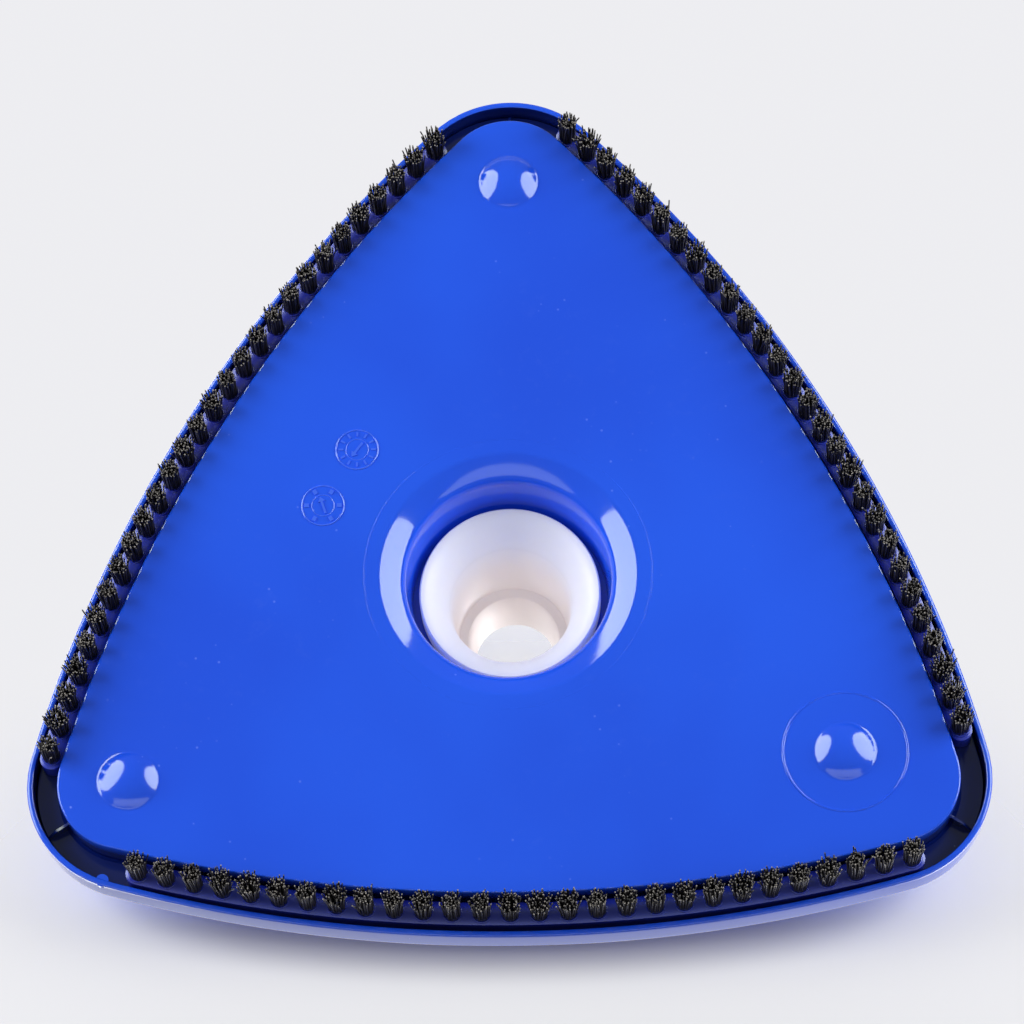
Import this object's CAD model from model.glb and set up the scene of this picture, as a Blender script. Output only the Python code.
"""Looks of a weighted triangular pool vacuum head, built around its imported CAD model."""
import math

import bmesh
import bpy
import numpy as np
from bpy.props import FloatProperty, FloatVectorProperty, IntProperty, PointerProperty
from mathutils import Matrix, Vector


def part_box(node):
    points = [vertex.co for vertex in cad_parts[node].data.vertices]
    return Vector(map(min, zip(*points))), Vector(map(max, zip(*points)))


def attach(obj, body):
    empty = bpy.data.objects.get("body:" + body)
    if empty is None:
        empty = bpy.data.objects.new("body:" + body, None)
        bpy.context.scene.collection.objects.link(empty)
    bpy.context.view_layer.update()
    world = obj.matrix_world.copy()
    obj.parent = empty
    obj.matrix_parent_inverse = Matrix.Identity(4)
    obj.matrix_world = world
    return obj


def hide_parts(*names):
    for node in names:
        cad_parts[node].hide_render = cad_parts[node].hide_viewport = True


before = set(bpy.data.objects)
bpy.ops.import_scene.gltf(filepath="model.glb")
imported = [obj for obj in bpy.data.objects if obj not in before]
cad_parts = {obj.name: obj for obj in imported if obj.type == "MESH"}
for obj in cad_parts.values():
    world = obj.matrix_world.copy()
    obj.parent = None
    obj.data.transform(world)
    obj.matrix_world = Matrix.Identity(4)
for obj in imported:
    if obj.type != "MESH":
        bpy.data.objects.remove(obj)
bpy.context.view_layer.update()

bl_info = {
    "name": "Pool Vacuum Head",
    "version": (1, 0, 0),
    "blender": (4, 5, 0),
    "location": "View3D > Sidebar > Vacuum Head",
    "description": "Builds the finished pieces of a triangular pool vacuum head",
    "category": "Object",
}

MM = 0.001
THIRD = 2 * math.pi / 3
SIDES = {"rear": math.pi / 2, "left": math.pi / 2 + THIRD, "right": math.pi / 2 - THIRD}
CORNERS = {"nose": -math.pi / 2, "right": math.pi / 6, "left": 5 * math.pi / 6}


# ---------------------------------------------------------------- places read from the frame

def middle_of(node):
    """The middle of a CAD node's box."""
    low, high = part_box(node)
    return (low + high) / 2


ROW_SHIFT = {"rear": -5.0 * MM, "right": -4.5 * MM, "left": -2.2 * MM}
RING_CLEARANCE = 0.6 * MM
AXIS = Vector((middle_of("hose_nipple").x, middle_of("hose_nipple").y, 0.0))
RIM_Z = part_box("top_shell")[0].z
NECK_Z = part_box("snap_ring")[0].z - RING_CLEARANCE
STRIP_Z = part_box("rear_brush_strip")[0].z
STRIP_BACK_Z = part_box("rear_brush_strip")[1].z
BELL_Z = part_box("hose_nipple")[0].z
NIPPLE_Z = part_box("hose_nipple")[1].z
PIVOT = Vector((0.0, AXIS.y, middle_of("right_pivot_pin").z))
STEM_END_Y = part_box("handle_yoke")[0].y


def size(name, default, description):
    """A length setting shown in the sidebar."""
    return FloatProperty(name=name, default=default, description=description, unit="LENGTH", min=0.0,
                         precision=5)


def tint(name, default, description):
    """A colour setting shown in the sidebar."""
    return FloatVectorProperty(name=name, default=default, description=description, subtype="COLOR",
                               size=3, min=0.0, max=1.0)


class HeadSizes(bpy.types.PropertyGroup):
    """Sizes of the plate, the groove and the shell."""
    plate_side: size("Plate side", 100.0 * MM, "From the axis to the middle of a plate side")
    plate_side_radius: size("Plate side radius", 470.0 * MM, "Radius of a plate side's arc")
    plate_corner: size("Plate corner radius", 20.5 * MM, "Radius of a plate corner")
    rim_side: size("Rim side", 111.8 * MM, "From the axis to the middle of a rim side")
    rim_side_radius: size("Rim side radius", 437.0 * MM, "Radius of a rim side's arc")
    rim_corner: size("Rim corner radius", 33.4 * MM, "Radius of a rim corner")
    rim_wall: size("Rim wall", 1.9 * MM, "Thickness of the skirt")
    wall: size("Wall", 2.4 * MM, "Thickness of plate and shell")
    plate_z: size("Plate height", 8.0 * MM, "Height of the plate's face above the floor")
    groove_z: size("Groove height", 20.0 * MM, "Height of the groove's floor")
    seat_z: size("Seat height", 35.3 * MM, "Height of the shell's seat for the washer")
    crown_z: size("Crown height", 39.5 * MM, "Height of the shell round its neck")
    crown_radius: size("Crown radius", 38.0 * MM, "Radius where the shell's slope starts")
    edge_z: size("Edge height", 30.0 * MM, "Height of the shell where its side wall starts")
    mouth_radius: size("Mouth radius", 39.5 * MM, "Where the mouth's rounding starts")
    lip_radius: size("Lip radius", 33.0 * MM, "Where the mouth's sloping face turns into the throat")
    throat_radius: size("Throat radius", 30.0 * MM, "Radius of the throat wall")
    dome_radius: size("Dome radius", 9.0 * MM, "Radius of a corner dome")
    dome_height: size("Dome height", 3.2 * MM, "Height of a corner dome")
    neck_radius: size("Neck radius", 27.0 * MM, "Outer radius of the shell's neck")
    neck_bore: size("Neck bore", 22.2 * MM, "Inner radius of the shell's neck")


class BrushSizes(bpy.types.PropertyGroup):
    """Sizes of the brush strips and the bristles."""
    tufts: IntProperty(name="Tufts", default=28, min=2, description="Tufts in one row")
    pitch: size("Tuft pitch", 8.5 * MM, "Distance from tuft to tuft")
    tuft_radius: size("Tuft radius", 2.45 * MM, "Radius of a tuft at its socket")
    bristles: IntProperty(name="Bristles", default=66, min=3, description="Bristles in one tuft")
    bristle_radius: size("Bristle radius", 0.22 * MM, "Radius of one bristle")
    splay: size("Splay", 1.3 * MM, "How far a loose tuft's outer bristles lean out at their tips")
    scatter: size("Scatter", 0.75 * MM, "How far a bristle's tip strays at random")
    strip_width: size("Strip width", 6.8 * MM, "Width of the carrier strip")
    strip_crown: size("Strip crown", 7.4 * MM, "Radius of the strip's rounded face")
    socket_radius: size("Socket radius", 2.75 * MM, "Radius of the collar round a tuft")


class NippleSizes(bpy.types.PropertyGroup):
    """Sizes of the swivel hose nipple."""
    flange_radius: size("Flange radius", 27.5 * MM, "Radius of the bell mouth and its flange")
    bell_depth: size("Bell depth", 17.0 * MM, "Depth of the rounded mouth")
    bore_radius: size("Bore radius", 18.2 * MM, "Radius of the lower bore")
    step_z: size("Step height", 68.0 * MM, "Height of the step to the narrow hose end")
    end_bore: size("End bore", 12.5 * MM, "Radius of the bore at the narrow end")


class HandleSizes(bpy.types.PropertyGroup):
    """Sizes of the forked handle, its pins and its clip."""
    arm_inner: size("Arm inner face", 36.6 * MM, "From the middle plane to an arm's inner face")
    arm_outer: size("Arm outer face", 43.6 * MM, "From the middle plane to an arm's outer face")
    arm_height: size("Arm height", 14.0 * MM, "Height of the fork's section")
    arm_straight: size("Straight arm", 36.0 * MM, "Length of an arm before the fork closes")
    eye_radius: size("Eye radius", 9.0 * MM, "Radius of an arm's end round its pin")
    pin_radius: size("Pin radius", 3.5 * MM, "Radius of a pivot pin")
    ear_inner: size("Ear inner face", 30.0 * MM, "From the middle plane to an ear's inner face")
    ear_wall: size("Ear thickness", 6.0 * MM, "Thickness of an ear")
    stem_radius: size("Stem radius", 14.0 * MM, "Outer radius of the stem")
    stem_bore: size("Stem bore", 11.0 * MM, "Inner radius of the stem")
    stem_start: size("Stem start", 64.0 * MM, "From the pivot to the stem's closed end")


class Finish(bpy.types.PropertyGroup):
    """Colours of the plastics, bristles and metals."""
    blue: tint("Blue", (0.0145, 0.107, 0.88), "Moulded blue plastic")
    blue_deep: tint("Deep blue", (0.008, 0.050, 0.62), "Thicker or shaded blue plastic")
    navy: tint("Navy", (0.010, 0.016, 0.30), "Darker plastic of the brush strips")
    white: tint("White", (0.86, 0.86, 0.88), "Moulded white plastic")
    white_warm: tint("Warm white", (0.87, 0.80, 0.77), "Inside of the white nipple")
    bristle: tint("Bristle", (0.010, 0.008, 0.009), "Sides of the bristles")
    bristle_tip: tint("Bristle tips", (0.27, 0.25, 0.22), "Cut ends of the bristles")
    steel: tint("Steel", (0.60, 0.60, 0.62), "Stainless steel")
    iron: tint("Iron", (0.09, 0.09, 0.10), "Cast iron ballast")
    rubber: tint("Rubber", (0.025, 0.025, 0.027), "Washer rubber")


class StageSettings(bpy.types.PropertyGroup):
    """Where the camera stands and what it looks at."""
    lens: FloatProperty(name="Lens", default=165.74, description="Focal length on a 36 mm sensor")
    camera: FloatVectorProperty(name="Camera", default=(0.0433, 0.5281, -1.3115), subtype="TRANSLATION",
                                description="Where the camera stands")
    target: FloatVectorProperty(name="Target", default=(0.0012, 0.0046, 0.008), subtype="TRANSLATION",
                                description="The point in the middle of the view")
    roll: FloatProperty(name="Roll", default=math.radians(0.07), subtype="ANGLE",
                        description="Roll of the camera from nose-up")


GROUPS = {
    "head_sizes": HeadSizes,
    "brush_sizes": BrushSizes,
    "nipple_sizes": NippleSizes,
    "handle_sizes": HandleSizes,
    "head_finish": Finish,
    "head_stage": StageSettings,
}


# ---------------------------------------------------------------- shader maths and nodes

class Value:
    """A shader socket that adds Math nodes where it is used in an expression."""

    def __init__(self, recipe, socket):
        self.recipe = recipe
        self.socket = socket

    def math(self, operation, other):
        return self.recipe.value("ShaderNodeMath", {"operation": operation}, {0: self, 1: other})

    def __add__(self, other):
        return self.math("ADD", other)

    def __mul__(self, other):
        return self.math("MULTIPLY", other)

    def __sub__(self, other):
        return self.math("SUBTRACT", other)

    def __rsub__(self, other):
        return (self * -1.0) + other

    def __pow__(self, other):
        return self.math("POWER", other)


class Recipe:
    """A node material being made."""

    def __init__(self, name):
        self.material = bpy.data.materials.new(name)
        self.material.use_nodes = True
        self.tree = self.material.node_tree
        self.tree.nodes.clear()
        self.output = self.tree.nodes.new("ShaderNodeOutputMaterial")

    def node(self, kind, settings=None, inputs=None):
        """Any node: its settings first, then the values or links of its sockets."""
        made = self.tree.nodes.new(kind)
        for key, setting in (settings or {}).items():
            setattr(made, key, setting)
        for key, given in (inputs or {}).items():
            socket = made.inputs[key]
            if isinstance(given, Value):
                given = given.socket
            if isinstance(given, bpy.types.NodeSocket):
                self.tree.links.new(given, socket)
            elif socket.type == "RGBA" and len(given) == 3:
                socket.default_value = (*given, 1.0)
            else:
                socket.default_value = given
        return made

    def value(self, kind, settings=None, inputs=None, output=0):
        """A node's output, ready for an expression."""
        return Value(self, self.node(kind, settings, inputs).outputs[output])

    def place(self, scale=(1.0, 1.0, 1.0), turn=(0.0, 0.0, 0.0)):
        """Object coordinates in metres, stretched or turned."""
        coordinate = self.node("ShaderNodeTexCoord").outputs["Object"]
        return self.value("ShaderNodeMapping", {}, {"Vector": coordinate, "Scale": scale, "Rotation": turn})

    def attribute(self, name):
        """A number stored on the mesh."""
        return Value(self, self.node("ShaderNodeAttribute", {"attribute_name": name}).outputs["Fac"])

    def coordinates(self):
        """The three object coordinates, each by itself."""
        return [self.value("ShaderNodeSeparateXYZ", {}, {0: self.place()}, output) for output in range(3)]

    def noise(self, scale, detail=2.0, where=None):
        """Smooth noise, 0 to 1; scale counts features in a metre."""
        inputs = {"Vector": where or self.place(), "Scale": scale, "Detail": detail}
        return self.value("ShaderNodeTexNoise", {}, inputs)

    def cells(self, scale):
        """Distance to scattered points."""
        return self.value("ShaderNodeTexVoronoi", {}, {"Vector": self.place(), "Scale": scale})

    def between(self, value, low, high, out_low=0.0, out_high=1.0):
        """A value's stretch from low to high, mapped smoothly to a new range and held at its ends."""
        inputs = {0: value, 1: low, 2: high, 3: out_low, 4: out_high}
        return self.value("ShaderNodeMapRange", {"interpolation_type": "SMOOTHSTEP"}, inputs)

    def blend(self, share, first, second):
        """Two colours mixed by a share."""
        inputs = {0: share, 6: first, 7: second}
        return self.value("ShaderNodeMix", {"data_type": "RGBA"}, inputs, output=2)

    def bump(self, height, distance, normal=None):
        """A normal bent by a height, with the height's full range a real distance."""
        inputs = {"Height": height, "Distance": distance}
        if normal:
            inputs["Normal"] = normal
        return self.value("ShaderNodeBump", {}, inputs)

    def finish(self, **inputs):
        """Close the material with a Principled shader."""
        sockets = {key.replace("_", " "): given for key, given in inputs.items()}
        shader = self.node("ShaderNodeBsdfPrincipled", {}, sockets)
        self.tree.links.new(shader.outputs[0], self.output.inputs["Surface"])
        return self.material


def finish_settings():
    return bpy.context.scene.head_finish


def made_once(build):
    """Keep one copy of a material that several pieces share."""
    name = build.__name__

    def find():
        return bpy.data.materials.get(name) or build()
    return find


def moulded(name, colour, deep, dust_colour, gloss=0.07):
    """Glossy moulded plastic with flow marks, orange peel, scuffs and dust specks, darker in a recess."""
    recipe = Recipe(name)
    recess, rubbed = recipe.attribute("recess"), recipe.attribute("rubbed")
    cloudy = recipe.between(recipe.noise(9.0, 3.0), 0.35, 0.7)
    speck = recipe.between(recipe.cells(240.0), 0.04, 0.14, 1.0, 0.0)
    patchy = recipe.between(recipe.noise(45.0, 3.0), 0.52, 0.66)
    dust = speck * patchy
    misty = recipe.between(recipe.noise(14.0), 0.45, 0.7)
    bloom = recipe.between(recipe.noise(320.0, 4.0), 0.55, 0.75) * misty
    tinted = recipe.blend(cloudy * 0.4, colour, deep)
    tinted = recipe.blend(bloom * 0.05, tinted, dust_colour)
    tinted = recipe.blend(dust * 0.3, tinted, dust_colour)
    tinted = recipe.blend(rubbed * 0.4, tinted, dust_colour)
    tinted = recipe.blend(recess * 0.9, tinted, (0.003, 0.004, 0.06))
    streaks = recipe.noise(1.0, 4.0, recipe.place((30.0, 900.0, 900.0), (0.0, 0.0, 0.6)))
    scuffs = recipe.between(streaks, 0.6, 0.75) * recipe.between(recipe.noise(25.0), 0.5, 0.65)
    smudge = recipe.between(recipe.noise(22.0, 4.0), 0.3, 0.75)
    waves = recipe.bump(recipe.noise(150.0, 2.0), 0.03 * MM)
    fine = recipe.noise(1400.0, 2.0) * 0.4 + scuffs * 0.6 + dust * 1.5
    return recipe.finish(
        Base_Color=tinted,
        Roughness=smudge * 0.05 + scuffs * 0.10 + dust * 0.3 + bloom * 0.08 + gloss,
        IOR=1.52,
        Specular_Tint=(0.90, 1.0, 0.76, 1.0),
        Normal=recipe.bump(fine, 0.006 * MM, normal=waves),
    )


@made_once
def moulded_blue():
    """The bright blue of the shell and the plate."""
    colours = finish_settings()
    return moulded("moulded_blue", tuple(colours.blue), tuple(colours.blue_deep), (0.10, 0.22, 0.92))


@made_once
def moulded_navy():
    """The darker blue of the brush strips."""
    colours = finish_settings()
    return moulded("moulded_navy", tuple(colours.navy), tuple(colours.blue_deep), (0.12, 0.14, 0.6), 0.3)


@made_once
def satin_white():
    """Satin white plastic with faint smudges; daylight comes through it into its bore, warmer deep inside."""
    colours = finish_settings()
    nipple = bpy.context.scene.nipple_sizes
    bore, step = nipple.bore_radius, nipple.step_z
    recipe = Recipe("satin_white")
    x, y, height = recipe.coordinates()
    radius = (x * x + (y - AXIS.y) * (y - AXIS.y)) ** 0.5
    narrowing = recipe.between(height, step - 2 * MM, step) * (4.1 * MM)
    inside = recipe.between(radius + narrowing, bore + 0.2 * MM, bore + 0.8 * MM, 1.0, 0.0)
    warm = recipe.between(height, 30 * MM, 55 * MM) * inside
    through = inside.math("MAXIMUM", recipe.between(height, 34 * MM, 42 * MM, 1.0, 0.0))
    daylight = recipe.blend(warm, (0.80, 0.82, 0.90), (0.84, 0.79, 0.80))
    mottled = recipe.between(recipe.noise(25.0, 2.0), 0.3, 0.8)
    colour = recipe.blend(warm * 0.85, tuple(colours.white), tuple(colours.white_warm))
    colour = recipe.blend(mottled * 0.06, colour, (0.70, 0.70, 0.74))
    smudge = recipe.between(recipe.noise(70.0, 4.0), 0.35, 0.7)
    return recipe.finish(
        Base_Color=colour,
        Roughness=smudge * 0.12 + 0.46,
        IOR=1.42,
        Subsurface_Weight=0.2,
        Subsurface_Radius=(0.6, 0.5, 0.45),
        Subsurface_Scale=2.0 * MM,
        Emission_Color=recipe.blend(through, (0.0, 0.0, 0.0), daylight),
        Emission_Strength=0.12,
        Normal=recipe.bump(recipe.noise(260.0, 3.0), 0.03 * MM),
    )


@made_once
def cut_nylon():
    """Dark nylon bristles with pale cut ends, each its own shade."""
    colours = finish_settings()
    recipe = Recipe("cut_nylon")
    along, shade = recipe.attribute("along"), recipe.attribute("shade")
    cut = recipe.between(along, 0.955, 0.995)
    worn = recipe.between(along, 0.55, 1.0)
    body = recipe.blend(shade * 0.6, tuple(colours.bristle), (0.030, 0.024, 0.024))
    body = recipe.blend(worn * 0.12, body, (0.06, 0.052, 0.044))
    tip = recipe.blend(recipe.between(shade, 0.35, 0.95), (0.03, 0.026, 0.022), tuple(colours.bristle_tip))
    return recipe.finish(
        Base_Color=recipe.blend(cut, body, tip),
        Roughness=cut * 0.25 + 0.45,
        Normal=recipe.bump(recipe.noise(2500.0, 2.0), 0.02 * MM),
    )


@made_once
def drawn_steel():
    """Stainless steel with fine drawn lines."""
    colours = finish_settings()
    recipe = Recipe("drawn_steel")
    lines = recipe.noise(1.0, 3.0, recipe.place((260.0, 260.0, 5200.0)))
    stains = recipe.between(recipe.noise(180.0, 3.0), 0.45, 0.75)
    return recipe.finish(
        Base_Color=recipe.blend(stains * 0.35, tuple(colours.steel), (0.42, 0.41, 0.40)),
        Metallic=1.0,
        Roughness=lines * 0.16 + stains * 0.12 + 0.16,
        Normal=recipe.bump(lines, 0.01 * MM),
    )


@made_once
def rough_iron():
    """Rough cast iron with a little rust in its hollows."""
    colours = finish_settings()
    recipe = Recipe("rough_iron")
    lumps = recipe.noise(420.0, 5.0)
    rust = recipe.between(recipe.noise(70.0, 4.0), 0.52, 0.72)
    return recipe.finish(
        Base_Color=recipe.blend(rust * 0.6, tuple(colours.iron), (0.14, 0.05, 0.022)),
        Metallic=1.0 - rust * 0.8,
        Roughness=rust * 0.25 + 0.58,
        Normal=recipe.bump(lumps, 0.35 * MM),
    )


@made_once
def matt_rubber():
    """Matt black washer rubber with a fine bloom."""
    colours = finish_settings()
    recipe = Recipe("matt_rubber")
    bloom = recipe.between(recipe.noise(300.0, 4.0), 0.45, 0.75)
    return recipe.finish(
        Base_Color=recipe.blend(bloom * 0.3, tuple(colours.rubber), (0.07, 0.07, 0.07)),
        Roughness=bloom * 0.15 + 0.6,
        Normal=recipe.bump(recipe.noise(900.0, 2.0), 0.02 * MM),
    )


# ---------------------------------------------------------------- plan outlines

def corner_centre(outline):
    """How far from the axis a corner arc's centre lies."""
    side, side_radius, corner_radius = outline
    chord = (side_radius - corner_radius) ** 2 - 0.75 * (side_radius - side) ** 2
    return math.sqrt(chord) - 0.5 * (side_radius - side)


def outline_radius(angles, outline):
    """Distance from the axis to the three-sided outline, for an array of directions."""
    side, side_radius, corner_radius = outline
    centre = side - side_radius
    reach = corner_centre(outline)
    from_side = np.abs((angles - math.pi / 2 + THIRD / 2) % THIRD - THIRD / 2)
    corner = np.array((0.5 * reach, math.sqrt(0.75) * reach))
    away = corner - np.array((centre, 0.0))
    touch = np.array((centre, 0.0)) + side_radius * away / np.linalg.norm(away)
    on_side = centre * np.cos(from_side) + np.sqrt(side_radius ** 2 - (centre * np.sin(from_side)) ** 2)
    turn = THIRD / 2 - from_side
    across = np.maximum(corner_radius ** 2 - (reach * np.sin(turn)) ** 2, 0.0)
    on_corner = reach * np.cos(turn) + np.sqrt(across)
    return np.where(from_side <= math.atan2(touch[1], touch[0]), on_side, on_corner)


def radius_towards(angle, outline):
    """Distance from the axis to the outline in one direction."""
    return float(outline_radius(np.array([angle]), outline)[0])


def outline_angles(outline, side_steps=60, corner_steps=26):
    """Directions of an outline's points: even along each side arc and round each corner."""
    side, side_radius, corner_radius = outline
    reach = corner_centre(outline)
    spread = math.atan2(math.sqrt(0.75) * reach, 0.5 * reach + side_radius - side)
    turns = spread * (2 * np.arange(side_steps) / side_steps - 1)
    points = [(side - side_radius + side_radius * np.cos(turns), side_radius * np.sin(turns))]
    turns = spread + (THIRD - 2 * spread) * np.arange(corner_steps) / corner_steps
    points.append((0.5 * reach + corner_radius * np.cos(turns),
                   math.sqrt(0.75) * reach + corner_radius * np.sin(turns)))
    local = np.concatenate([np.arctan2(y, x) for x, y in points])
    return np.concatenate([local + middle for middle in SIDES.values()])


def sizes():
    return bpy.context.scene.head_sizes


def plate_outline(inset=0.0):
    head = sizes()
    return (head.plate_side - inset, head.plate_side_radius - inset, head.plate_corner - inset)


def rim_outline(inset=0.0):
    head = sizes()
    return (head.rim_side - inset, head.rim_side_radius - inset, head.rim_corner - inset)


def rings_through(profile):
    """Rings of points for (outline or radius, height) pairs; a triple mixes circle, outline and share."""
    angles = np.sort(outline_angles(plate_outline()) % (2 * math.pi))
    rings = []
    for shape, height in profile:
        if isinstance(shape, float):
            radius = np.full_like(angles, shape)
        elif isinstance(shape[1], tuple):
            inner, outline, share = shape
            radius = inner + (outline_radius(angles, outline) - inner) * share
        else:
            radius = outline_radius(angles, shape)
        rings.append(np.c_[radius * np.cos(angles), radius * np.sin(angles), np.full_like(angles, height)])
    return rings


def arc(centre, radius, start, end, steps):
    """Points of an arc in a profile plane, angles in degrees."""
    turns = np.radians(np.linspace(start, end, steps + 1))
    return [(centre[0] + radius * math.cos(turn), centre[1] + radius * math.sin(turn)) for turn in turns]


# ---------------------------------------------------------------- mesh building

def loft(rings, closed=False, capped=False):
    """Vertices and faces of a band through rings of equal length."""
    count = len(rings[0])
    vertices = [tuple(point) for ring in rings for point in ring]
    rows = len(rings) if closed else len(rings) - 1
    faces = []
    for row in range(rows):
        first, second = row * count, (row + 1) % len(rings) * count
        for step in range(count):
            after = (step + 1) % count
            faces.append((first + step, first + after, second + after, second + step))
    if capped:
        faces.append(tuple(range(count)))
        faces.append(tuple(range((len(rings) - 1) * count, len(rings) * count)))
    return vertices, faces


def turned(profile, steps=96):
    """A closed solid turned about the vertical; radius 0 at either end closes it with a pole."""
    poles = profile[0][0] == 0.0
    body = profile[1:-1] if poles else profile
    turns = 2 * math.pi * np.arange(steps) / steps
    rings = [np.c_[radius * np.cos(turns), radius * np.sin(turns), np.full(steps, height)]
             for radius, height in body]
    vertices, faces = loft(rings, closed=not poles)
    if poles:
        last = (len(body) - 1) * steps
        low, high = len(vertices), len(vertices) + 1
        vertices += [(0.0, 0.0, profile[0][1]), (0.0, 0.0, profile[-1][1])]
        for step in range(steps):
            after = (step + 1) % steps
            faces += [(low, after, step), (high, last + step, last + after)]
    return vertices, faces


def moved(part, matrix):
    """The same part turned and moved."""
    vertices, faces = part
    return [tuple(matrix @ Vector(point)) for point in vertices], faces


def at(x=0.0, y=0.0, z=0.0):
    return Matrix.Translation((x, y, z))


def along_x(side=1):
    """Turns a part's height to run out along X, to the right or, mirrored, to the left."""
    return Matrix.Scale(side, 4, (1, 0, 0)) @ Matrix.Rotation(math.pi / 2, 4, "Y")


def along_y():
    """Turns a part's height to run along -Y."""
    return Matrix.Rotation(math.pi / 2, 4, "X")


def make_piece(name, parts, material, offset=AXIS, smooth=40.0, bevel=None):
    """One object from closed parts, with outward faces and its place in its mesh."""
    build = bmesh.new()
    for vertices, faces in parts:
        made = [build.verts.new(Vector(point) + offset) for point in vertices]
        for face in faces:
            build.faces.new([made[index] for index in face])
    bmesh.ops.recalc_face_normals(build, faces=build.faces)
    mesh = bpy.data.meshes.new(name)
    build.to_mesh(mesh)
    build.free()
    mesh.shade_smooth()
    mesh.set_sharp_from_angle(angle=math.radians(smooth))
    mesh.materials.append(material)
    piece = bpy.data.objects.new(name, mesh)
    bpy.context.scene.collection.objects.link(piece)
    if bevel:
        rounding = piece.modifiers.new("rounding", "BEVEL")
        rounding.width = bevel
        rounding.segments = 3
        rounding.limit_method = "ANGLE"
        rounding.angle_limit = math.radians(40)
        rounding.harden_normals = True
        baked(piece)
    return piece


def paint(piece, name, measure):
    """Store a number for each vertex, measured from its radius, direction and height round the axis."""
    points = np.empty(len(piece.data.vertices) * 3)
    piece.data.vertices.foreach_get("co", points)
    x, y, height = (points.reshape(-1, 3) - np.array(AXIS)).T
    values = measure(np.hypot(x, y), np.arctan2(y, x), height)
    piece.data.attributes.new(name, "FLOAT", "POINT").data.foreach_set("value", values.astype(np.float32))


def baked(piece):
    """Apply a piece's modifiers to a plain mesh."""
    bpy.context.view_layer.update()
    graph = bpy.context.evaluated_depsgraph_get()
    mesh = bpy.data.meshes.new_from_object(piece.evaluated_get(graph), depsgraph=graph)
    piece.modifiers.clear()
    piece.data = mesh


def cut(piece, parts, offset=AXIS):
    """Cut closed parts out of a piece."""
    tool = make_piece("tool", parts, piece.data.materials[0], offset)
    boolean = piece.modifiers.new("cut", "BOOLEAN")
    boolean.operation = "DIFFERENCE"
    boolean.object = tool
    baked(piece)
    bpy.data.objects.remove(tool, do_unlink=True)
    piece.data.set_sharp_from_angle(angle=math.radians(40))


def joined(name, pieces):
    """Several objects as one, with their attributes and materials kept."""
    target = pieces[0]
    with bpy.context.temp_override(active_object=target, selected_editable_objects=pieces, object=target):
        bpy.ops.object.join()
    target.name = name
    return target


def settle(piece, body, node):
    """Ride a body, stand for a CAD node and name the finish."""
    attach(piece, body)
    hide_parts(node)


# ---------------------------------------------------------------- bottom plate and shell

def crown_height(share):
    """Height of the shell's top from the neck (0) to the edge (1)."""
    head = sizes()
    return head.crown_z - (head.crown_z - head.edge_z) * share ** 1.7


def dome_places():
    """Each corner's dome: its place on the plate, taken from the screw behind it."""
    return {name: middle_of(f"{name}_screw") - AXIS for name in CORNERS}


def dome(place):
    """A convex dome under the plate: a ball cap with a small fillet at its foot."""
    head = sizes()
    ball = (head.dome_radius ** 2 + head.dome_height ** 2) / (2 * head.dome_height)
    slope = math.asin(head.dome_radius / ball)
    peak = head.plate_z - head.dome_height
    foot = head.dome_radius + 0.5 * MM
    profile = [(0.0, peak)]
    profile += [(ball * math.sin(turn), peak + ball * (1 - math.cos(turn)))
                for turn in np.linspace(0, slope * 0.97, 20)[1:]]
    profile += [(head.dome_radius + 0.15 * MM, head.plate_z - 0.03 * MM), (foot, head.plate_z + 0.01 * MM)]
    profile += [(foot, head.plate_z + MM), (0.0, head.plate_z + MM)]
    return moved(turned(profile, 72), at(place.x, place.y))


ROOT = 0.3 * MM  # how deep a raised mark starts inside the plate


def raised_ring(place, radius, width, height):
    """A low rounded ring on the plate's face."""
    face = sizes().plate_z
    root = face + ROOT
    turns = np.radians(np.linspace(0, 180, 7))
    section = [(radius + width / 2 * math.cos(turn), face - height * math.sin(turn)) for turn in turns]
    section += [(radius - width / 2, root), (radius + width / 2, root)]
    return moved(turned(section, 96), at(*place))


def date_wheel(place, pointing, ticks, half_width):
    """A plain moulder's wheel: a ring, ticks inside it and an arrow, with no characters."""
    height = 0.3 * MM
    top, root = sizes().plate_z - height, sizes().plate_z + ROOT
    centre = at(*place)
    parts = [raised_ring(place, 6.4 * MM, 0.5 * MM, height)]
    parts.append(raised_ring(place, 3.4 * MM, 0.3 * MM, height / 2))
    for tick in range(ticks):
        bar = box_part((4.2 * MM, -half_width, top), (5.7 * MM, half_width, root))
        parts.append(moved(bar, centre @ Matrix.Rotation(2 * math.pi * tick / ticks, 4, "Z")))
    tip, barb, tail, wing, shaft = 2.9 * MM, 1.3 * MM, -2.7 * MM, 1.1 * MM, 0.35 * MM
    upper = [(barb, wing), (barb, shaft), (tail, shaft)]
    arrow = [(tip, 0.0), *upper, *[(x, -y) for x, y in reversed(upper)]]
    rings = [[(x, y, z) for x, y in arrow] for z in (top, root)]
    parts.append(moved(loft(rings, capped=True), centre @ Matrix.Rotation(pointing, 4, "Z")))
    return parts


def box_part(low, high):
    """A plain block between two corners."""
    rings = [[(low[0], low[1], z), (high[0], low[1], z), (high[0], high[1], z), (low[0], high[1], z)]
             for z in (low[2], high[2])]
    return loft(rings, capped=True)


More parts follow.
